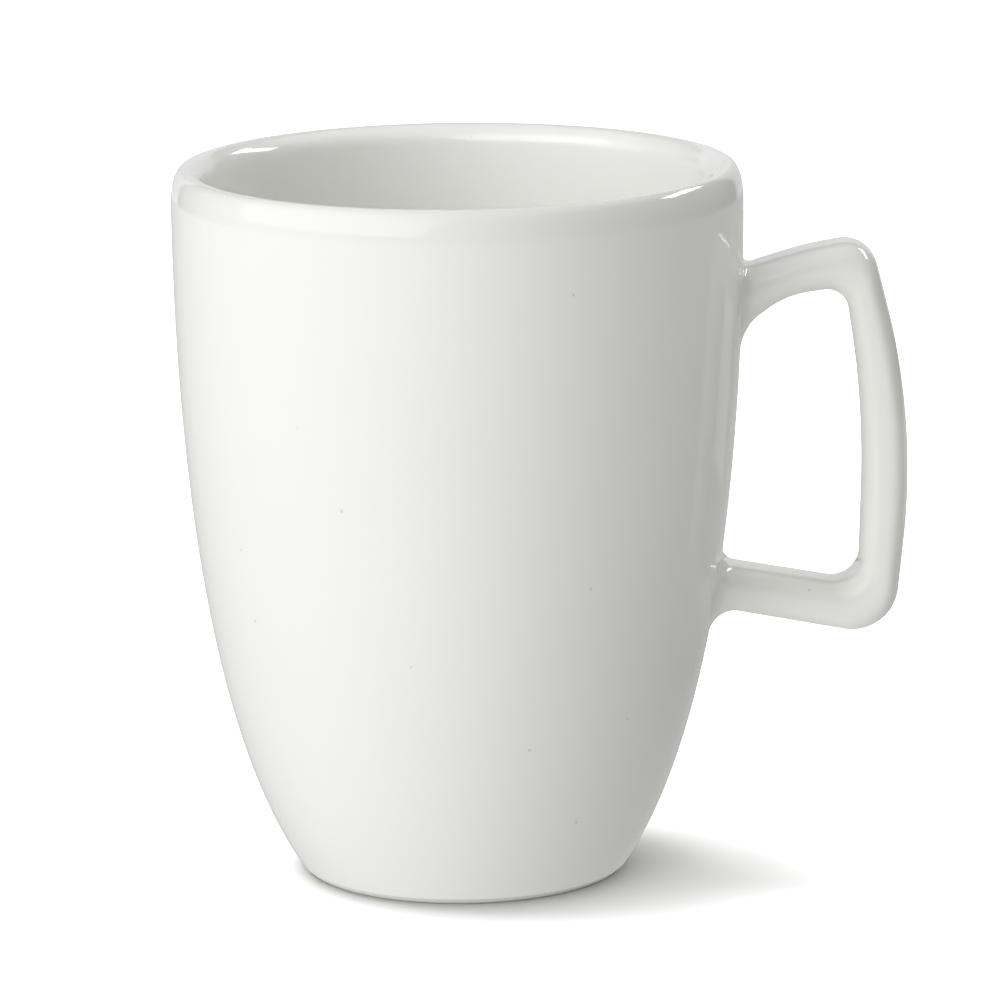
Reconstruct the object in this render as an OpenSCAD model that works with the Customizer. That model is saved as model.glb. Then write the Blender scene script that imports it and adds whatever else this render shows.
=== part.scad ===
// Porcelain mug with a bowed, square-cornered handle.
// Z is the cup's axis, the table is z = 0, and the handle points along +X.
// Millimetres throughout.

/* [Cup] */
// Height from the table to the crest of the lip
cup_h = 103.2; // [96:0.1:108]
// Outside diameter at the rim, the cup's widest place
rim_d = 82; // [78:0.5:84]
// Diameter that the outer curve runs to at the table
foot_d = 46.4; // [42:0.2:50]
// Height at which the wall starts to leave the vertical, as a share of cup_h
belly_start = 0.675; // [0.6:0.005:0.75]
// Radius of the curve's lower guide point
belly_r = 38.5; // [37:0.1:39.5]
// Height of the curve's lower guide point
belly_z = 21.5; // [18:0.5:25]

/* [Wall] */
// Thickness of the wall, glaze on both sides included
wall_t = 4.8; // [4.2:0.1:5.2]
// Thickness of each coat of glaze
glaze_t = 0.25; // [0.2:0.05:0.35]
// Height over which the lip rounds off outside
lip_h = 4.6; // [3.2:0.1:5.5]
// Height over which it rounds off inside
lip_in_h = 2.8; // [2:0.1:3]
// Distance of the lip's crest from the outside
lip_w = 1.8; // [1.4:0.1:2.2]
// Height of the glazed floor inside the cup
floor_z = 6; // [5:0.1:7]
// Radius of the flat part of the floor inside
floor_flat_r = 9; // [5:0.5:12]

/* [Foot] */
// Inner radius of the bare ring that the mug stands on
foot_in_r = 19.4; // [18.5:0.1:19.8]
// Depth of the recess inside the foot ring
recess_h = 1.8; // [1.2:0.1:2.2]
// Height of the bare band between the table and the outer glaze
bare_h = 0.9; // [0.6:0.1:1.2]

/* [Handle] */
// Distance from the cup's axis to the guide point of the grip's outer bow
grip_x = 65.9; // [64.5:0.1:68]
// Height of that guide point
grip_z = 65.1; // [61:0.5:67]
// Thickness of the grip between its two guide points
grip_t = 7.6; // [6.8:0.1:8.4]
// Height of the outer corner of the upper arm before rounding
upper_z = 92.5; // [91:0.1:94]
// How far that corner is set back from grip_x
upper_back = 6.8; // [5.8:0.1:7.4]
// Thickness of the upper arm at the corner
upper_t = 7.3; // [6.5:0.1:8]
// Fall of the upper arm from its corner to the cup
upper_fall = 3.5; // [3.1:0.1:4.2]
// Height of the outer corner of the lower arm before rounding
lower_z = 33.5; // [31:0.1:36]
// How far that corner is set back from grip_x
lower_back = 3.4; // [2.2:0.1:4.4]
// Thickness of the lower arm at the corner
lower_t = 7.9; // [7:0.1:9]
// Rise of the lower arm from its corner to the cup
lower_rise = 3.7; // [2.5:0.1:4.5]

/* [Handle corners] */
// Radius of the outer corner at the top
upper_out_r = 4.8; // [3.5:0.1:6]
// Radius of the finger gap's corner at the top
upper_gap_r = 3.4; // [2.5:0.1:4.2]
// Radius of the outer corner at the bottom
lower_out_r = 6.7; // [5:0.1:8]
// Radius of the finger gap's corner at the bottom
lower_gap_r = 4; // [3:0.1:5]
// Radius of the grip's bow outside
bow_out_r = 99; // [80:1:110]
// Radius of the grip's bow on the finger side
bow_gap_r = 130; // [100:1:140]

/* [Handle section] */
// Breadth of the handle across the fingers
handle_w = 11.6; // [9:0.2:13]
// Squareness of the section: 2 is an ellipse, more is squarer
squareness = 2.8; // [2:0.1:3.2]

/* [Slip joints] */
// Thickness of the slip between the handle's end and the wall
slip_t = 0.3; // [0.2:0.05:0.5]
// Reach of the slip fillet at the handle's sides
slip_side = 1.8; // [1:0.1:2.4]
// Reach above the upper arm
slip_upper_top = 1.5; // [1:0.1:2.4]
// Reach under the upper arm's flare
slip_upper_low = 3.2; // [2:0.1:3.6]
// Reach above the lower arm
slip_lower_top = 2.2; // [1:0.1:3]
// Reach under the lower arm
slip_lower_low = 4; // [2:0.1:4.4]

/* [Smoothness] */
// Points around the handle's section
ring_n = 24; // [16:4:32]
// Segments of each long curve of the cup's outline
curve_n = 28; // [16:2:48]
// Facets around the cup
$fn = 144; // [96:12:180]

/* [Hidden] */

GLAZE_WHITE = "#eceee8";
CLAY_WHITE = "#dcd9d0";
SLIP_GREY = "#c9c7be";

rim_r = rim_d / 2;
foot_r = foot_d / 2;
shoulder_z = cup_h - lip_h;
crest_r = rim_r - lip_w;
// guide points of the wall's outer curve, from the lip down to the table
wall_guide = [[rim_r, shoulder_z], [rim_r, belly_start * cup_h], [belly_r, belly_z], [foot_r, 0]];
// the inner surface leaves the wall curve at this share of it and turns into the floor
turn_t = 0.70;
// lengths of the guide arms of that turn, at the wall and at the floor
turn_arms = [15, 13];
// segments along half the lip, along the turn into the floor and along each curve of the foot
lip_n = 8;
turn_n = 12;
foot_n = 5;
// width of the flat landing between the foot's outer rounding and its inner edge
foot_round = 0.6;
// how far the recess's side runs inwards on its way up
recess_run = 2.4;
// how far outside the rim's radius the two arms' first sections stand, clear of the fillets
upper_clear = 2.6;
lower_clear = 1.5;
upper_x = rim_r + upper_clear;
lower_x = rim_r + lower_clear;
// the outer outline's corners before rounding: x, z
out_upper = [grip_x - upper_back, upper_z];
out_lower = [grip_x - lower_back, lower_z];
arm_top = [upper_x, upper_z - upper_fall];
arm_low = [lower_x, lower_z + lower_rise];
// the finger gap's corners are set back this much less than the outer ones
upper_less = 4;
lower_less = 2.6;
gap_upper = [out_upper[0] + upper_less - grip_t, upper_z - upper_t];
gap_lower = [out_lower[0] + lower_less - grip_t, lower_z + lower_t];
// the lower arm's two sides draw closer by this much on the way to the cup
lower_taper = 1.1;
gap_low = [lower_x, gap_lower[1] + lower_rise - lower_taper];
// the upper arm bends slightly on top, this far out and up from its first section
bend_run = [5.8, 1.8];
arm_bend = arm_top + bend_run;
arm_bend_r = 60;
// underneath it flares towards the cup, from this far outside upper_x and under the gap's corner
flare_out = 2.95;
flare_under = 1.3;
// how far the flare runs in and down from there
flare_run = [3.15, 2.55];
gap_bend = [upper_x + flare_out, gap_upper[1] - flare_under];
gap_flare = gap_bend - flare_run;
flare_r = 12.5;
// the guide point of the grip's bow stands this much higher on the finger side
bow_shift = 2;
// points along each rounded corner of the handle's two outlines
corner_n = [7, 7, 14, 7];
// points along the fillet of a slip joint, and rings across its wall face
fillet_n = 5;
cap_n = 3;
// how full the fillet is: 0.55 is close to a true arc
fillet_pull = 0.55;

// ---- curves ----
function unit(v) = v / norm(v);
function bezier(g, t) =
    pow(1 - t, 3) * g[0] + 3 * pow(1 - t, 2) * t * g[1] + 3 * (1 - t) * t * t * g[2] + pow(t, 3) * g[3];
function bezier_dir(g, t) =
    unit(pow(1 - t, 2) * (g[1] - g[0]) + 2 * (1 - t) * t * (g[2] - g[1]) + t * t * (g[3] - g[2]));
// the point at share t, moved by d to the right of the direction of travel
function beside(g, t, d) = let (u = bezier_dir(g, t)) bezier(g, t) + d * [u[1], -u[0]];
function steps(n) = [for (i = [0 : n]) i / n];
function backwards(list) = [for (i = [len(list) - 1 : -1 : 0]) list[i]];

// share of the wall curve at height z, by halving
function share_at(z, lo = 0, hi = 1, n = 22) =
    n == 0 ? (lo + hi) / 2
    : let (mid = (lo + hi) / 2) bezier(wall_guide, mid)[1] > z ? share_at(z, mid, hi, n - 1)
    : share_at(z, lo, mid, n - 1);
function wall_r(z) = bezier(wall_guide, share_at(z))[0];

// ---- the cup's outlines, in (radius, height) ----
// each runs from the lip's crest, and d is its depth under the glazed surface
function lip_arc(w, h, d) = [
    for (s = steps(lip_n)) [crest_r + (w > 0 ? 1 : -1) * (abs(w) - d) * sin(90 * s),
                            cup_h - h + (h - d) * cos(90 * s)]
];
foot_t = share_at(bare_h);
function outside(d) = concat(
    lip_arc(lip_w, lip_h, d),
    [for (s = steps(curve_n)) if (s > 0) beside(wall_guide, s * foot_t, d)]
);
turn_start = beside(wall_guide, turn_t, wall_t);
turn_guide = [
    turn_start, turn_start + turn_arms[0] * bezier_dir(wall_guide, turn_t),
    [floor_flat_r + turn_arms[1], floor_z], [floor_flat_r, floor_z]
];
function inside(d) = concat(
    lip_arc(lip_w - wall_t, lip_in_h, d),
    [for (s = steps(curve_n)) beside(wall_guide, s * turn_t, wall_t - d)],
    [for (s = steps(turn_n)) if (s > 0) beside(turn_guide, s, -d)],
    [[0, floor_z - d]]
);

// ---- the handle's outlines, in (x, z) ----
function turned(v, a) = [v[0] * cos(a) - v[1] * sin(a), v[0] * sin(a) + v[1] * cos(a)];
// the arc of radius r that rounds the corner b between a and c
function rounding(a, b, c, r, n) = let (
    u = unit(a - b), w = unit(c - b), half = acos(u * w) / 2,
    middle = b + unit(u + w) * r / sin(half), start = b + u * r / tan(half) - middle,
    sweep = (180 - 2 * half) * sign(u[1] * w[0] - u[0] * w[1])
) [for (s = steps(n)) middle + turned(start, s * sweep)];
function rounded(v, radii) = concat(
    [v[0]],
    [for (i = [1 : len(v) - 2]) each rounding(v[i - 1], v[i], v[i + 1], radii[i - 1], corner_n[i - 1])],
    [v[len(v) - 1]]
);
outer_line = rounded(
    [arm_top, arm_bend, out_upper, [grip_x, grip_z], out_lower, arm_low],
    [arm_bend_r, upper_out_r, bow_out_r, lower_out_r]
);
gap_line = rounded(
    [gap_flare, gap_bend, gap_upper, [grip_x - grip_t, grip_z + bow_shift], gap_lower, gap_low],
    [flare_r, upper_gap_r, bow_gap_r, lower_gap_r]
);

// ---- rings around the handle, as lists of [x, y, z] ----
// each starts on the outer outline, turns towards +Y, and is d under the glazed surface
function squared(c) = sign(c) * pow(abs(c), 2 / squareness);
function section(i, d) = let (
    o = outer_line[i], g = gap_line[i], middle = (o + g) / 2, up = unit(o - g), a = norm(o - g) / 2 - d
) [for (k = [0 : ring_n - 1]) let (
    turn = 360 * k / ring_n, p = middle + up * a * squared(cos(turn))
) [p[0], (handle_w / 2 - d) * squared(sin(turn)), p[1]]];
function sections(d) = [for (i = [0 : last]) section(i, d)];
last = len(outer_line) - 1;

// the two ends: first section, the next one, and the fillet's reach on the outer and the gap side
UPPER = [0, 1, slip_upper_top, slip_upper_low];
LOWER = [last, last - 1, slip_lower_low, slip_lower_top];

// the point of the wall's glazed surface at (y, z), moved out by d
function onto_wall(y, z, d) = [sqrt(pow(wall_r(z) + d, 2) - y * y), y, z];
// where the line from q through p reaches that surface
function reach_wall(p, q, d, n = 4) = n == 0 ? p
    : let (u = unit(p - q), gap = p[0] - onto_wall(p[1], p[2], d)[0]) reach_wall(p - u * gap / u[0], q, d, n - 1);
// the handle's surface, d under the glaze, carried on to the wall moved out by w
function end_ring(end, d, w) = let (ring = section(end[0], d), next = section(end[1], d))
    [for (k = [0 : ring_n - 1]) reach_wall(ring[k], next[k], w)];

// how far the fillet reaches from the corner at point k of a ring
function reach(end, k) = let (c = cos(360 * k / ring_n))
    slip_side + ((c > 0 ? end[2] : end[3]) - slip_side) * c * c;
// where the fillet runs out on the wall: the end ring spread by that reach, at depth d
function foot_print(end, d) = let (ring = end_ring(end, 0, 0), way = sign(ring[0][2] - ring[ring_n / 2][2]))
    [for (k = [0 : ring_n - 1]) let (
        along = unit(ring[(k + 1) % ring_n] - ring[(k + ring_n - 1) % ring_n]),
        spread = way * reach(end, k) / norm([along[1], along[2]])
    ) onto_wall(ring[k][1] - spread * along[2], ring[k][2] + spread * along[1], -d)];
// the concave rings from the wall up to the handle
function fillet(end, d) = let (
    low = foot_print(end, d), corner = end_ring(end, d, -d), up = section(end[0], d)
) [for (s = steps(fillet_n)) [for (k = [0 : ring_n - 1]) let (
    high = corner[k] + unit(up[k] - corner[k]) * reach(end, k)
) bezier([low[k], low[k] + (corner[k] - low[k]) * fillet_pull,
          high + (corner[k] - high) * fillet_pull, high], s)]];

// a ring on the wall filled in: its middle, then ever larger copies of it, all d out from the glaze
function middle_z(ring) = (ring[0][2] + ring[ring_n / 2][2]) / 2;
function cap_middle(ring, d) = onto_wall(0, middle_z(ring), d);
function cap_rings(ring, d) = [for (j = [1 : cap_n - 1]) [for (p = ring) let (s = j / cap_n)
    onto_wall(p[1] * s, p[2] * s + middle_z(ring) * (1 - s), d)]];

// the triangles between ring i and ring j of a list of rings
function band(i, j) = [for (k = [0 : ring_n - 1], half = [0, 1]) let (
    a = i * ring_n + k, b = i * ring_n + (k + 1) % ring_n, step = (j - i) * ring_n
) half == 0 ? [a, b, b + step] : [a, b + step, a + step]];

// a closed skin over rings, with a point at each end
module loft(first, rings, final) {
    n = len(rings);
    points = concat([for (r = rings) each r], [first, final]);
    sides = [for (i = [0 : n - 2]) each band(i, i + 1)];
    ends = [for (k = [0 : ring_n - 1], half = [0, 1]) let (
        next = (k + 1) % ring_n, top = (n - 1) * ring_n
    ) half == 0 ? [n * ring_n, next, k] : [n * ring_n + 1, top + k, top + next]];
    polyhedron(points, concat(sides, ends), convexity = 6);
}

// a closed skin over rings that come back to the first one
module ring_loft(rings) {
    n = len(rings);
    polyhedron([for (r = rings) each r], [for (i = [0 : n - 1]) each band(i, (i + 1) % n)], convexity = 6);
}

// ---- the pieces ----
// the clay vessel: wall, floor and foot ring in one
module cup_body() {
    d = glaze_t;
    edge = beside(wall_guide, foot_t, d);
    fall = bezier_dir(wall_guide, foot_t);
    toe = [edge[0] - edge[1] * fall[0] / fall[1], 0];
    foot_guide = [edge, toe, toe, toe - [foot_round, 0]];
    recess_guide = [
        [foot_in_r, 0], [foot_in_r - recess_run / 2, 0],
        [foot_in_r - recess_run / 2, recess_h], [foot_in_r - recess_run, recess_h]
    ];
    lining = inside(d);
    color(CLAY_WHITE) rotate_extrude() polygon(concat(
        outside(d),
        [for (s = steps(foot_n)) if (s > 0) bezier(foot_guide, s)],
        [for (s = steps(foot_n)) bezier(recess_guide, s)],
        [[0, recess_h]],
        [for (i = [len(lining) - 1 : -1 : 1]) lining[i]]
    ));
}

// the clay handle, up to the film of slip at each end
module handle() {
    out = slip_t - glaze_t;
    upper = end_ring(UPPER, glaze_t, out);
    lower = end_ring(LOWER, glaze_t, out);
    color(CLAY_WHITE) loft(
        cap_middle(upper, out),
        concat(
            cap_rings(upper, out), [upper], sections(glaze_t),
            [lower], backwards(cap_rings(lower, out))
        ),
        cap_middle(lower, out)
    );
}

// the slip that bonds one end: a film on the wall and the fillet round the arm
module slip_joint(end) {
    out = slip_t - glaze_t;
    curve = fillet(end, glaze_t);
    film = end_ring(end, glaze_t, out);
    rings = concat(cap_rings(curve[0], -glaze_t), curve, [film], backwards(cap_rings(film, out)));
    color(SLIP_GREY) loft(
        cap_middle(curve[0], -glaze_t),
        end[0] == 0 ? rings : [for (r = rings) backwards(r)],
        cap_middle(film, out)
    );
}

module upper_slip_joint() {
    slip_joint(UPPER);
}

module lower_slip_joint() {
    slip_joint(LOWER);
}

// the coat that lines the cup, from the lip's crest to the middle of the floor
module inner_glaze() {
    color(GLAZE_WHITE) rotate_extrude() polygon(concat(inside(0), backwards(inside(glaze_t))));
}

// a straight cut along X through the wall, inside a fillet's outline
module window(end) {
    print = foot_print(end, 0);
    translate([rim_r / 2, 0, 0]) rotate([90, 0, 90])
        linear_extrude(rim_r) polygon([for (p = print) [p[1], p[2]]]);
}

// the coat outside, from the lip's crest to just above the foot, open under the handle's ends
module outer_glaze() {
    color(GLAZE_WHITE) difference() {
        rotate_extrude() polygon(concat(outside(0), backwards(outside(glaze_t))));
        window(UPPER);
        window(LOWER);
    }
}

// the coat over the handle and both fillets, as one skin
function coat(d) = concat(fillet(UPPER, d), sections(d), backwards(fillet(LOWER, d)));
module handle_glaze() {
    color(GLAZE_WHITE) ring_loft(concat(coat(0), backwards(coat(glaze_t))));
}

// the coat in the recess under the floor
module base_glaze() {
    color(GLAZE_WHITE) translate([0, 0, recess_h - glaze_t])
        cylinder(h = glaze_t, r = foot_in_r - recess_run);
}

cup_body();
handle();
upper_slip_joint();
lower_slip_joint();
inner_glaze();
outer_glaze();
handle_glaze();
base_glaze();
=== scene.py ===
from math import cos, pi, radians, sin

import bpy
import numpy as np
from mathutils import Matrix, Vector

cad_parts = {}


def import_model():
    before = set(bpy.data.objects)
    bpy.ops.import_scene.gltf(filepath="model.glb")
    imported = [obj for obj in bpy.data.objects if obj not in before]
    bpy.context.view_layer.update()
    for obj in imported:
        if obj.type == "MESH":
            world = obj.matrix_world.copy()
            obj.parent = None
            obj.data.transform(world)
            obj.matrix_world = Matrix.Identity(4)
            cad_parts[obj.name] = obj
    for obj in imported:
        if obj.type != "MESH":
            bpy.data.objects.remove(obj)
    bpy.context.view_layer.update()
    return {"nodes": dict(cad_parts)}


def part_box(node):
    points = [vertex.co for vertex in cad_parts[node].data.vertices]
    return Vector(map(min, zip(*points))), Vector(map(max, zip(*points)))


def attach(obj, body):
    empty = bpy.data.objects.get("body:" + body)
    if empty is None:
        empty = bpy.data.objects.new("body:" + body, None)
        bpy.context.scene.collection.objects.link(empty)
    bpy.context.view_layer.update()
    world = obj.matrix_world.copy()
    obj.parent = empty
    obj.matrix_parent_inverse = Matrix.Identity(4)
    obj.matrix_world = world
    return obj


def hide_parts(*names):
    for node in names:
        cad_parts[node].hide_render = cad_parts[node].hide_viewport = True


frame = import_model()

MM = 0.001

# ---------------------------------------------------------------- sizes, in mm
# taken from the frame
low, high = (np.array(c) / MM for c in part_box("outer_glaze"))
RIM_R = high[0]
BARE_H = low[2]
low, high = (np.array(c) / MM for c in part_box("base_glaze"))
GLAZE_T = high[2] - low[2]
RECESS_H = high[2]
RECESS_R = high[0]
CUP_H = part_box("cup_body")[1].z / MM + GLAZE_T
low, high = (np.array(c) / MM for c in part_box("handle"))
HANDLE_W = high[1] - low[1] + 2 * GLAZE_T

# the cup, as the CAD has it: the wall draws in below BELLY_START, a share of the height, and is
# pulled towards the point BELLY, in (r, z), on its way to the foot
FOOT_R = 23.2
FOOT_IN_R = 19.4
BELLY_START = 0.675
BELLY = (38.5, 21.5)
LIP_H = 4.6
LIP_IN_H = 2.8
LIP_W = 1.8
WALL_T = 4.8
FOOT_ROUND = 0.6
HEEL_ROUND = 0.4

# the inner wall turns into the floor at TURN_T, a share of the wall's curve, with these guide arms
FLOOR_Z = 6.0
FLOOR_FLAT_R = 9.0
TURN_T = 0.70
TURN_ARMS = (15.0, 13.0)

# the handle's outlines, as (x, z) corners before rounding, and their radii
OUTER_CORNERS = [(43.6, 89), (49.4, 90.8), (59.1, 92.5), (65.9, 65.1), (62.5, 33.5), (42.5, 37.2)]
OUTER_RADII = [60, 4.8, 99, 6.7]
GAP_CORNERS = [(43.4, 81.35), (46.55, 83.9), (55.5, 85.2), (58.3, 67.1), (57.5, 41.4), (42.5, 44)]
GAP_RADII = [12.5, 3.4, 130, 4]
# its section's exponent: 2 is an ellipse, and more is squarer
SQUARENESS = 2.8
# reach of the fillets round the handle's ends: at the sides, on the outer outline, in the gap
UPPER_REACH = (1.8, 1.5, 3.2)
LOWER_REACH = (1.8, 4.0, 2.2)
# how far the fillet's guide points go towards its corner, and how deep its edge sinks into the wall
FILLET_PULL = 0.55
SINK = 0.015

# ---------------------------------------------------------------- fineness
AROUND = 192
WALL_N = 64
LIP_N = 14
UPRIGHT_N = 3
TURN_N = 26
EDGE_N = 8
TOE_N = 10
LANDING_N = 4
RISE_N = 16
SECTION_N = 88
FILLET_N = 14
ARC_N = (12, 22, 40, 24)
STRAIGHT_N = (3, 5, 8, 12, 14)
# the rings on a flat disc, as shares of its radius
FLAT_SHARES = (0.66, 0.33, 0)
TABLED_N = 4000
WALL_PASSES = 6
# a point that is nearer to Z than this is a pole
ON_AXIS = 1e-6


# ---------------------------------------------------------------- curves
def steps(n):
    return np.linspace(0, 1, n + 1)


def bezier(guide, t):
    """The cubic curve of four guide points, or of four rings of them, at each share in t."""
    g = np.asarray(guide, float)
    t = np.asarray(t).reshape((-1,) + (1,) * g[0].ndim)
    return (1 - t) ** 3 * g[0] + 3 * (1 - t) ** 2 * t * g[1] + 3 * (1 - t) * t * t * g[2] + t ** 3 * g[3]


def unit(v):
    return v / np.linalg.norm(v, axis=-1, keepdims=True)


def along(points):
    """The direction of travel at each point."""
    return unit(np.gradient(points, axis=0))


def left_of(direction):
    return np.stack([-direction[..., 1], direction[..., 0]], -1)


def straight(a, b, n):
    """n points strictly between a and b."""
    s = steps(n + 1)[1:-1, None]
    return np.asarray(a) * (1 - s) + np.asarray(b) * s


CREST_R = RIM_R - LIP_W
WALL = [(RIM_R, CUP_H - LIP_H), (RIM_R, BELLY_START * CUP_H), BELLY, (FOOT_R, 0)]
tabled = bezier(WALL, steps(TABLED_N))
# the share of the wall's curve at which the glaze stops, above the foot
FOOT_T = np.interp(-BARE_H, -tabled[:, 1], steps(TABLED_N))


def wall_r(z):
    """The outer wall's radius at a height."""
    return np.interp(-np.asarray(z), -tabled[:, 1], tabled[:, 0])


def lip(width, height):
    """A quarter of an ellipse from the crest down, outwards for a positive width."""
    a = steps(LIP_N) * pi / 2
    return np.stack([CREST_R + width * np.sin(a), CUP_H - height + height * np.cos(a)], -1)


def outside():
    return np.concatenate([lip(LIP_W, LIP_H), bezier(WALL, steps(WALL_N)[1:] * FOOT_T)])


def inside():
    down = bezier(WALL, steps(WALL_N) * TURN_T)
    heading = along(down)
    wall = down - left_of(heading) * WALL_T
    leaving = wall[-1] + TURN_ARMS[0] * heading[-1]
    arriving = (FLOOR_FLAT_R + TURN_ARMS[1], FLOOR_Z)
    turn = bezier([wall[-1], leaving, arriving, (FLOOR_FLAT_R, FLOOR_Z)], steps(TURN_N)[1:])
    flat = [(FLOOR_FLAT_R * s, FLOOR_Z) for s in FLAT_SHARES]
    edge = lip(LIP_W - WALL_T, LIP_IN_H)
    upright = straight(edge[-1], wall[0], UPRIGHT_N)
    return np.concatenate([edge, upright, wall, turn, flat])


# the whole glazed surface, from the floor's centre up, over the crest and down to the glaze's edge
lining, outer = inside(), outside()
SURFACE = np.concatenate([lining[::-1], outer[1:]])
SURFACE_N = left_of(along(SURFACE))
CREST = len(lining) - 1
SURFACE_N[0] = SURFACE_N[CREST] = (0, 1)


# ---------------------------------------------------------------- meshes
def add_mesh(name, points, faces, normals, smooth, material, nodes):
    """One piece. normals holds a vector for each corner of each face, or zeros to leave it flat."""
    mesh = bpy.data.meshes.new(name)
    mesh.from_pydata((np.asarray(points) * MM).tolist(), [], faces)
    mesh.polygons.foreach_set("use_smooth", smooth)
    mesh.normals_split_custom_set(normals)
    mesh.materials.append(material)
    mesh.update()
    piece = bpy.data.objects.new(name, mesh)
    bpy.context.scene.collection.objects.link(piece)
    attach(piece, "root")
    if nodes:
        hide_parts(*nodes)
    return piece


def lathe(name, runs, closed, material, nodes):
    """Turns an outline about Z. Each run is (points, normals) in (r, z); runs meet at sharp edges.
    The outline goes clockwise, so that the outside is on the left of its direction of travel."""
    points = np.concatenate([runs[0][0][:1]] + [p[1:] for p, _ in runs])
    if closed:
        points = points[:-1]
    turn = np.arange(AROUND) * 2 * pi / AROUND
    spin = np.stack([np.cos(turn), np.sin(turn)], -1)
    co, first = [], []
    for r, z in points:
        first.append(len(co))
        co += [(0, 0, z)] if r < ON_AXIS else [(r * c, r * s, z) for c, s in spin]
    faces, normals = [], []
    i = 0
    for run_points, run_normals in runs:
        for step in range(len(run_points) - 1):
            ends = []
            for offset in (0, 1):
                ring = (i + offset) % len(points)
                ends.append((first[ring], run_normals[step + offset], points[ring][0] < ON_AXIS))
            (fi, ni, pole_i), (fj, nj, pole_j) = ends
            for a in range(AROUND):
                b = (a + 1) % AROUND
                corners = [(fi, a, ni, pole_i), (fj, a, nj, pole_j),
                           (fj, b, nj, pole_j), (fi, b, ni, pole_i)]
                if pole_i:
                    corners.pop(3)
                if pole_j:
                    corners.pop(1)
                faces.append([f if pole else f + k for f, k, _, pole in corners])
                normals += [(n[0] * spin[k][0], n[0] * spin[k][1], n[1]) for _, k, n, _ in corners]
            i += 1
    return add_mesh(name, co, faces, normals, [True] * len(faces), material, nodes)


def run(points):
    """A stretch of a clockwise outline with its outward normals."""
    points = np.asarray(points, float)
    return points, left_of(along(points))


# ---------------------------------------------------------------- handle
def rounding(a, b, c, r, n):
    """The arc of radius r that rounds the corner b between a and c."""
    a, b, c = (np.array(p, float) for p in (a, b, c))
    u, w = unit(a - b), unit(c - b)
    half = np.arccos(u @ w) / 2
    middle = b + unit(u + w) * r / np.sin(half)
    start = b + u * r / np.tan(half) - middle
    sweep = (pi - 2 * half) * np.sign(u[1] * w[0] - u[0] * w[1])
    a = steps(n) * sweep
    return middle + np.stack([start[0] * np.cos(a) - start[1] * np.sin(a),
                              start[0] * np.sin(a) + start[1] * np.cos(a)], -1)


def outline(corners, radii):
    """The rounded outline, with the same number of points on each stretch whatever its length."""
    stretches = [np.array([corners[0]], float)]
    for i, (r, n) in enumerate(zip(radii, ARC_N)):
        arc = rounding(corners[i], corners[i + 1], corners[i + 2], r, n)
        stretches.append(straight(stretches[-1][-1], arc[0], STRAIGHT_N[i]))
        stretches.append(arc)
    stretches.append(straight(stretches[-1][-1], np.array(corners[-1], float), STRAIGHT_N[-1]))
    stretches.append(np.array([corners[-1]], float))
    return np.concatenate(stretches)


OUTER_LINE = outline(OUTER_CORNERS, OUTER_RADII)
GAP_LINE = outline(GAP_CORNERS, GAP_RADII)
TURN = np.arange(SECTION_N) * 2 * pi / SECTION_N


def squared(c):
    return np.sign(c) * np.abs(c) ** (2 / SQUARENESS)


def section(o, g):
    """A ring round the handle, which starts on the outer outline and turns towards +Y."""
    middle, up, a = (o + g) / 2, unit(o - g), np.linalg.norm(o - g) / 2
    p = middle + up * a * squared(np.cos(TURN))[:, None]
    return np.stack([p[:, 0], HANDLE_W / 2 * squared(np.sin(TURN)), p[:, 1]], -1)


SECTIONS = np.array([section(o, g) for o, g in zip(OUTER_LINE, GAP_LINE)])


def onto_wall(y, z, d=0.0):
    """Points at that y and z, d outside the wall."""
    return np.stack([np.sqrt((wall_r(z) + d) ** 2 - y * y), y, z], -1)


def wall_normal(p):
    """The wall's outward normal at points on it."""
    z = p[:, 2]
    near = 0.05
    lean = (wall_r(z + near) - wall_r(z - near)) / (2 * near)
    n = np.stack([p[:, 0], p[:, 1], -lean * np.hypot(p[:, 0], p[:, 1])], -1)
    return unit(n)


def reach_wall(p, q):
    """Where the lines from q through p meet the wall, closed in on in a few passes."""
    p = p.copy()
    for _ in range(WALL_PASSES):
        u = unit(p - q)
        gap = p[:, 0] - onto_wall(p[:, 1], p[:, 2])[:, 0]
        p = p - u * (gap / u[:, 0])[:, None]
    return p


def fillet(ring, beyond, reaches):
    """Rings from the wall up to the handle's end ring."""
    side, outer, gap = reaches
    c = np.cos(TURN)
    reach = side + (np.where(c > 0, outer, gap) - side) * c * c
    corner = reach_wall(ring, beyond)
    way = np.sign(corner[0][2] - corner[SECTION_N // 2][2])
    run_on = unit(np.roll(corner, -1, 0) - np.roll(corner, 1, 0))
    spread = way * reach / np.hypot(run_on[:, 1], run_on[:, 2])
    foot = onto_wall(corner[:, 1] - spread * run_on[:, 2], corner[:, 2] + spread * run_on[:, 1], -SINK)
    top = corner + unit(ring - corner) * reach[:, None]
    guide = [foot, foot + (corner - foot) * FILLET_PULL, top + (corner - top) * FILLET_PULL, top]
    return bezier(guide, steps(FILLET_N))


def handle_rings():
    upper = fillet(SECTIONS[0], SECTIONS[1], UPPER_REACH)
    lower = fillet(SECTIONS[-1], SECTIONS[-2], LOWER_REACH)
    return np.concatenate([upper, SECTIONS, lower[::-1]])


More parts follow.
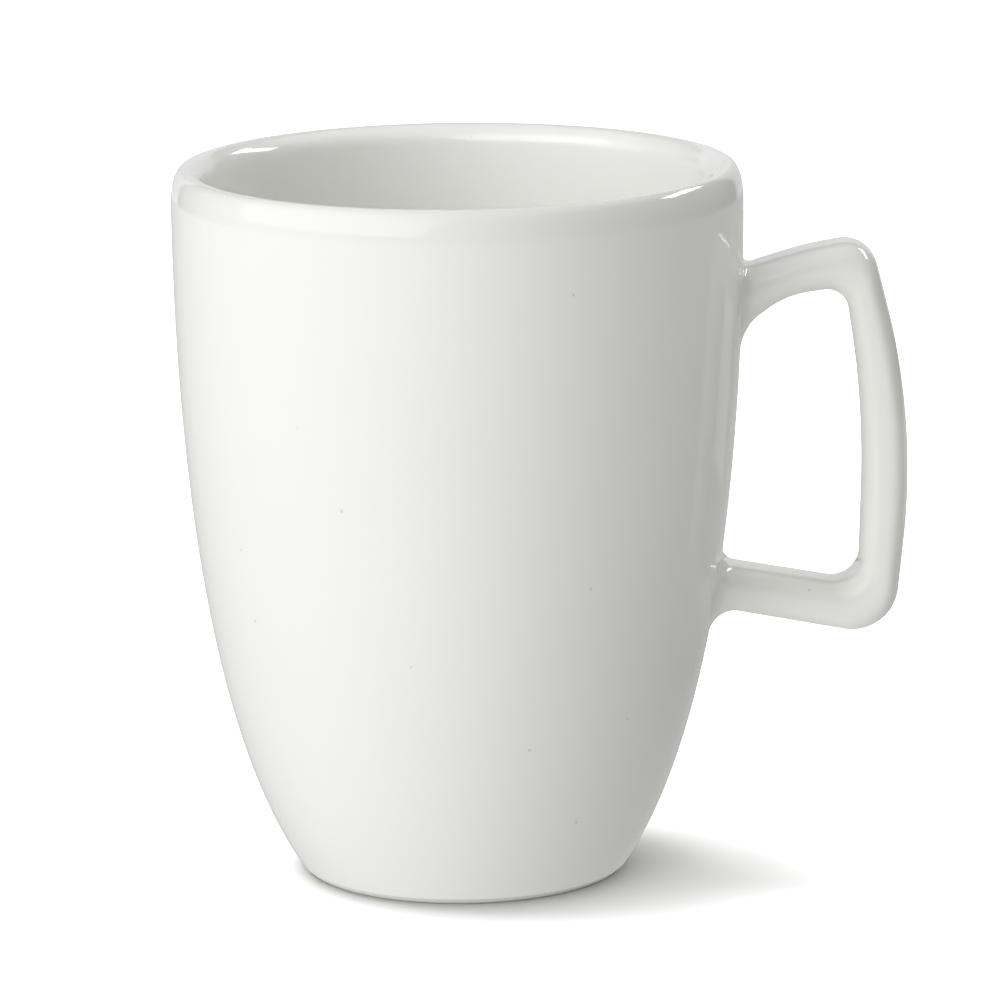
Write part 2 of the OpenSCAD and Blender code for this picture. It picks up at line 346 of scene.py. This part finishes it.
def handle_coat(material):
    """A tube of glaze round the handle and its fillets: a skin, its back and two flat end rings."""
    rings = handle_rings()
    n = len(rings)
    lengthwise = np.gradient(rings, axis=0)
    around = np.roll(rings, -1, 1) - np.roll(rings, 1, 1)
    normals = unit(np.cross(lengthwise, around))
    for i in (0, -1):
        normals[i] = wall_normal(rings[i])
    back = rings - normals * GLAZE_T
    points = np.concatenate([rings, back[::-1]]).reshape(-1, 3)
    point_normals = np.concatenate([normals, -normals[::-1]]).reshape(-1, 3)
    faces, corner_normals, smooth = [], [], []
    for i in range(2 * n):
        j = (i + 1) % (2 * n)
        skin = i not in (n - 1, 2 * n - 1)
        for k in range(SECTION_N):
            m = (k + 1) % SECTION_N
            face = [j * SECTION_N + k, j * SECTION_N + m, i * SECTION_N + m, i * SECTION_N + k]
            faces.append(face)
            smooth.append(skin)
            corner_normals += [tuple(point_normals[v]) if skin else (0, 0, 0) for v in face]
    return add_mesh("handle_glaze_coat", points, faces, corner_normals, smooth, material,
                    ["handle_glaze"])


# ---------------------------------------------------------------- cup
def outer_coat(material):
    """The coat outside, with a rounded bead where it stops above the foot."""
    skin, normals = SURFACE[CREST:], SURFACE_N[CREST:]
    back = skin - normals * GLAZE_T
    centre, out = skin[-1] - normals[-1] * GLAZE_T / 2, normals[-1]
    down = np.array([out[1], -out[0]])
    angle = steps(EDGE_N)[:, None] * pi
    bead = centre + GLAZE_T / 2 * (out * np.cos(angle) + down * np.sin(angle))
    runs = [(skin, normals), run(bead), (back[::-1], -normals[::-1]), run([back[0], skin[0]])]
    return lathe("outer_glaze_coat", runs, True, material, ["outer_glaze"])


def lining_coat(material):
    skin, normals = SURFACE[:CREST + 1], SURFACE_N[:CREST + 1]
    back = skin - normals * GLAZE_T
    runs = [(skin, normals), run([skin[-1], back[-1]]), (back[::-1], -normals[::-1])]
    return lathe("inner_glaze_coat", runs, False, material, ["inner_glaze"])


def clay_cup(material):
    """The clay under the coats, with the bare foot ring and the recess."""
    back = SURFACE - SURFACE_N * GLAZE_T
    edge, fall = back[-1], unit(back[-1] - back[-2])
    toe = np.array([edge[0] - edge[1] * fall[0] / fall[1], 0])
    landing = toe - (FOOT_ROUND, 0)
    outer_edge = bezier([edge, toe, toe, landing], steps(TOE_N))
    middle = (FOOT_IN_R + RECESS_R) / 2
    inner_edge = np.array([FOOT_IN_R + HEEL_ROUND, 0])
    ring = straight(landing, inner_edge, LANDING_N)
    rise = bezier([inner_edge, (middle, 0), (middle, RECESS_H), (RECESS_R, RECESS_H)], steps(RISE_N))
    ceiling = [(RECESS_R * s, RECESS_H) for s in FLAT_SHARES]
    under = run(np.concatenate([outer_edge, ring, rise, ceiling]))
    under[1][-1] = (0, -1)
    return lathe("clay_cup", [(back, SURFACE_N), under], False, material, ["cup_body"])


def base_coat(material):
    """The coat in the recess, with a rounded edge where it ran out."""
    flat_r = RECESS_R - GLAZE_T
    angle = steps(EDGE_N) * pi / 2
    edge = np.stack([flat_r + GLAZE_T * np.cos(angle), RECESS_H - GLAZE_T * np.sin(angle)], -1)
    face = [(flat_r * s, RECESS_H - GLAZE_T) for s in steps(EDGE_N)[::-1][1:]]
    top = run([(RECESS_R * s, RECESS_H) for s in steps(EDGE_N)])
    skin = run(np.concatenate([edge, face]))
    skin[1][-1] = (0, -1)
    return lathe("base_glaze_coat", [top, skin], False, material, ["base_glaze"])


# ---------------------------------------------------------------- materials
def new_material(name):
    m = bpy.data.materials.new(name)
    m.use_nodes = True
    tree = m.node_tree
    return m, tree, tree.nodes["Principled BSDF"]


def node(tree, kind, **settings):
    """A new node, with its inputs or its properties set by name."""
    n = tree.nodes.new(kind)
    for key, value in settings.items():
        if key in n.inputs:
            n.inputs[key].default_value = value
        else:
            setattr(n, key, value)
    return n


def texture(tree, place, kind, **settings):
    """A texture in the piece's own space."""
    t = node(tree, kind, **settings)
    tree.links.new(place.outputs["Object"], t.inputs["Vector"])
    return t


def two_tone(tree, factor, positions, colours):
    """A colour that goes from one to the other between two positions of the factor."""
    tone = node(tree, "ShaderNodeValToRGB")
    for stop, position, colour in zip(tone.color_ramp.elements, positions, colours):
        stop.position = position
        stop.color = colour + (1,)
    tree.links.new(factor, tone.inputs["Fac"])
    return tone.outputs["Color"]


def ranged(tree, value, from_min, from_max, to_min, to_max):
    """The value, taken from one range to another."""
    limits = {"From Min": from_min, "From Max": from_max, "To Min": to_min, "To Max": to_max}
    n = node(tree, "ShaderNodeMapRange", **limits)
    tree.links.new(value, n.inputs["Value"])
    return n.outputs["Result"]


def bumped(tree, shader, height, strength, distance):
    bump = node(tree, "ShaderNodeBump", Strength=strength, Distance=distance)
    tree.links.new(height, bump.inputs["Height"])
    tree.links.new(bump.outputs["Normal"], shader.inputs["Normal"])


def glaze(name, thin, thick):
    """Gloss glaze over a white body: even, with a trace of tone, fine specks and a dipped waver."""
    m, tree, shader = new_material(name)
    link = tree.links.new
    place = node(tree, "ShaderNodeTexCoord")
    clouds = texture(tree, place, "ShaderNodeTexNoise", Scale=38.0, Detail=3.0)
    tone = two_tone(tree, clouds.outputs["Fac"], (0.35, 0.65), (thin, thick))
    grains = texture(tree, place, "ShaderNodeTexVoronoi", Scale=110.0)
    speck = ranged(tree, grains.outputs["Distance"], from_min=0.02, from_max=0.036, to_min=0.3, to_max=0.0)
    flecked = node(tree, "ShaderNodeMixRGB", Color2=(0.30, 0.26, 0.20, 1))
    link(speck, flecked.inputs["Fac"])
    link(tone, flecked.inputs["Color1"])
    link(flecked.outputs["Color"], shader.inputs["Base Color"])
    ripple = texture(tree, place, "ShaderNodeTexNoise", Scale=90.0, Detail=1.0)
    bumped(tree, shader, ripple.outputs["Fac"], strength=0.12, distance=0.0006)
    rough = ranged(tree, clouds.outputs["Fac"], from_min=0.0, from_max=1.0, to_min=0.04, to_max=0.08)
    link(rough, shader.inputs["Roughness"])
    shader.inputs["IOR"].default_value = 1.52
    return m


def bisque():
    """Fired clay without glaze: dry, faintly gritty, warmer than the glaze."""
    m, tree, shader = new_material("bare_clay")
    place = node(tree, "ShaderNodeTexCoord")
    grit = texture(tree, place, "ShaderNodeTexNoise", Scale=1400.0, Detail=4.0)
    tone = two_tone(tree, grit.outputs["Fac"], (0.0, 1.0), ((0.66, 0.64, 0.60), (0.78, 0.76, 0.72)))
    tree.links.new(tone, shader.inputs["Base Color"])
    bumped(tree, shader, grit.outputs["Fac"], strength=0.4, distance=0.0001)
    shader.inputs["Roughness"].default_value = 0.85
    return m


# ---------------------------------------------------------------- stage, in metres
MIDDLE = Vector((0, 0, 0.05))
FLOOR_R = 12.0
# the small grey disc of painted shade under the foot: just wider than the foot, and just under it
NEAR_R = 0.0234
NEAR_DROP = 0.0002
# an area lamp's watts, for each square metre and each unit of radiance
LAMP_WATTS = 4


def stage_disc(name, radius, z, albedo):
    """A round matte sheet of the given whiteness, centred under the mug."""
    corners = [(radius * cos(a), radius * sin(a), z) for a in np.arange(AROUND) * 2 * pi / AROUND]
    mesh = bpy.data.meshes.new(name)
    mesh.from_pydata(corners, [], [list(range(AROUND))])
    m, tree, shader = new_material(name + "_matte")
    shader.inputs["Base Color"].default_value = (albedo, albedo, albedo, 1)
    shader.inputs["Roughness"].default_value = 1.0
    shader.inputs["Specular IOR Level"].default_value = 0.0
    mesh.materials.append(m)
    piece = bpy.data.objects.new(name, mesh)
    bpy.context.scene.collection.objects.link(piece)
    return piece


def floor():
    """The white table: one sheet for the camera, and a small half-grey one, unseen by the camera, that
    keeps light from the mug's foot: painted shade where the table would shade the foot.
    """
    shown = stage_disc("floor", FLOOR_R, 0.0, albedo=0.9)
    shown.visible_diffuse = shown.visible_glossy = shown.visible_shadow = False
    # a sheet darker than the table, seen only by the light on the mug: painted shade under the foot
    under = stage_disc("floor_near_painted_shade", NEAR_R, -NEAR_DROP, albedo=0.5)
    under.visible_camera = False
    return shown


def aimed(data, at, distance):
    """A lamp on a sphere round the mug, at an azimuth and an elevation. Azimuth 0 is in front, at -Y,
    and 90 is at +X."""
    light = bpy.data.objects.new(data.name, data)
    a, e = (radians(angle) for angle in at)
    back = Vector((sin(a) * cos(e), -cos(a) * cos(e), sin(e)))
    light.location = MIDDLE + back * distance
    light.rotation_euler = (-back).to_track_quat("-Z", "Y").to_euler()
    light.visible_camera = False
    bpy.context.scene.collection.objects.link(light)
    return light


def softbox(name, at, size, radiance, mirrored=False, colour=(1, 1, 1)):
    """A lamp a metre from the mug, which either lights the mug or only shows in its gloss."""
    data = bpy.data.lights.new(name, "AREA")
    data.shape = "RECTANGLE"
    data.size, data.size_y = size
    data.energy = radiance * LAMP_WATTS * size[0] * size[1]
    data.color = colour
    light = aimed(data, at, distance=1.0)
    light.visible_diffuse = not mirrored
    light.visible_glossy = mirrored
    return light


def light_only(light, receiver):
    """The lamp lights that piece and no other."""
    group = bpy.data.collections.new("lit_by_" + light.name)
    group.objects.link(receiver)
    light.light_linking.receiver_collection = group


def keep_off(light, receiver):
    """The lamp doesn't light that piece."""
    group = bpy.data.collections.new("not_lit_by_" + light.name)
    group.objects.link(receiver)
    group.collection_objects[0].light_linking.link_state = "EXCLUDE"
    light.light_linking.receiver_collection = group


def floor_light(name, receiver, at, spread, radiosity):
    """A wide, distant lamp for the table alone; the mug still shades it. Its radiosity is the radiance
    of a white sheet that faces it."""
    data = bpy.data.lights.new(name, "SUN")
    data.angle = radians(spread)
    data.energy = radiosity * pi
    light_only(aimed(data, at, distance=3.0), receiver)


# ---------------------------------------------------------------- room
# its radiance: the table, what the table has more towards the front left, the walls and the ceiling
TABLE = 0.50
TABLE_FRONT = 0.36
WALLS = 0.11
CEILING = 0.72
TINT = (1.0, 1.0, 0.985)
FRONT_LEFT = radians(-45)
# where the table gives way to the walls and the walls to the ceiling, as heights on a unit sphere
HORIZON = (-0.15, -0.11)
CEILING_EDGE = (0.65, 0.75)


def world():
    """White where the camera sees it. What lights the mug is a dim room with a white table."""
    w = bpy.data.worlds.new("studio")
    bpy.context.scene.world = w
    w.use_nodes = True
    tree = w.node_tree
    link = tree.links.new
    shown = tree.nodes["Background"]
    shown.inputs["Color"].default_value = (1, 1, 1, 1)
    lit = node(tree, "ShaderNodeBackground", Color=TINT + (1,))
    place = node(tree, "ShaderNodeTexCoord")
    split = node(tree, "ShaderNodeSeparateXYZ")
    link(place.outputs["Generated"], split.inputs[0])

    def ramp(edge, below, above):
        """One value below the edge and another above it."""
        limits = {"From Min": edge[0], "From Max": edge[1]}
        step = node(tree, "ShaderNodeMapRange", interpolation_type="SMOOTHSTEP", **limits)
        link(split.outputs["Z"], step.inputs["Value"])
        for key, value in (("To Min", below), ("To Max", above)):
            if isinstance(value, float):
                step.inputs[key].default_value = value
            else:
                link(value, step.inputs[key])
        return step.outputs["Result"]

    toward = node(tree, "ShaderNodeVectorMath", operation="DOT_PRODUCT")
    toward.inputs[1].default_value = (sin(FRONT_LEFT), -cos(FRONT_LEFT), 0)
    link(place.outputs["Generated"], toward.inputs[0])
    table = node(tree, "ShaderNodeMath", operation="MULTIPLY_ADD")
    table.inputs[1].default_value = TABLE_FRONT / 2
    table.inputs[2].default_value = TABLE + TABLE_FRONT / 2
    link(toward.outputs["Value"], table.inputs[0])
    room = ramp(CEILING_EDGE, WALLS, CEILING)
    link(ramp(HORIZON, table.outputs["Value"], room), lit.inputs["Strength"])
    path = node(tree, "ShaderNodeLightPath")
    mix = node(tree, "ShaderNodeMixShader")
    link(path.outputs["Is Camera Ray"], mix.inputs[0])
    link(lit.outputs["Background"], mix.inputs[1])
    link(shown.outputs["Background"], mix.inputs[2])
    link(mix.outputs["Shader"], tree.nodes["World Output"].inputs["Surface"])


# ---------------------------------------------------------------- camera
LENS = 229.25
STAND_OFF = 0.9216
ELEVATION = radians(12.42)
ROLL = radians(-0.559)
AIM = Vector((0.0057, 0, 0.05403))
SIDEWAYS = Vector((-0.00008, 0, 0))


def camera():
    data = bpy.data.cameras.new("camera")
    data.sensor_width = 36.0
    data.lens = LENS
    data.clip_start, data.clip_end = 0.05, 40.0
    cam = bpy.data.objects.new("camera", data)
    bpy.context.scene.collection.objects.link(cam)
    cam.location = Vector((0, -cos(ELEVATION), sin(ELEVATION))) * STAND_OFF + MIDDLE + SIDEWAYS
    turn = (AIM - cam.location).to_track_quat("-Z", "Y")
    cam.rotation_euler = (turn.to_matrix() @ Matrix.Rotation(ROLL, 3, "Z")).to_euler()
    bpy.context.scene.camera = cam


# ---------------------------------------------------------------- build
GLAZE = glaze("white_glaze", thin=(0.835, 0.845, 0.802), thick=(0.845, 0.854, 0.815))
# the same glaze as outside, made lighter: painted light that stands in for the light falling inside the
# cup
LINING_PAINTED_LIGHT = glaze("lining_glaze_painted_light", thin=(0.915, 0.922, 0.885), thick=(0.922, 0.928, 0.895))
CLAY = bisque()
outer_coat(GLAZE)
inner = lining_coat(LINING_PAINTED_LIGHT)
grip = handle_coat(GLAZE)
base_coat(GLAZE)
clay_cup(CLAY)
for name in ("handle", "upper_slip_joint", "lower_slip_joint"):
    part = frame["nodes"][name]
    part.data.materials.clear()
    part.data.materials.append(CLAY)

table = floor()
floor_light("overhead", table, at=(0, 90), spread=52, radiosity=1.0)
floor_light("rear_left", table, at=(-118, 68), spread=50, radiosity=1.2)
world()

# lamps that light the mug
keep_off(softbox("key", at=(-43, 24), size=(1.5, 0.9), radiance=1.87, colour=(0.99, 0.99, 1.0)), table)
keep_off(softbox("bounce", at=(-35, -60), size=(1.2, 1.2), radiance=0.13), table)
keep_off(softbox("back_fill", at=(135, 28), size=(0.8, 0.8), radiance=1.8), table)
light_only(softbox("handle_key", at=(-50, 4), size=(0.5, 0.5), radiance=1.4), grip)

# lamps that only show in its gloss
softbox("key_window", at=(-54, 27), size=(1.74, 0.85), radiance=0.9, mirrored=True)
light_only(softbox("lining_window", at=(-40, 40), size=(1.4, 0.8), radiance=1.7, mirrored=True), inner)
softbox("table_glow", at=(136, -11), size=(0.32, 0.12), radiance=0.2, mirrored=True)
softbox("glint", at=(126, 37), size=(0.56, 0.12), radiance=14.0, mirrored=True)
softbox("backdrop", at=(180, 10), size=(1.25, 0.56), radiance=0.5, mirrored=True, colour=(0.96, 0.98, 1.0))

camera()
scene = bpy.context.scene
scene.view_settings.view_transform = "Standard"
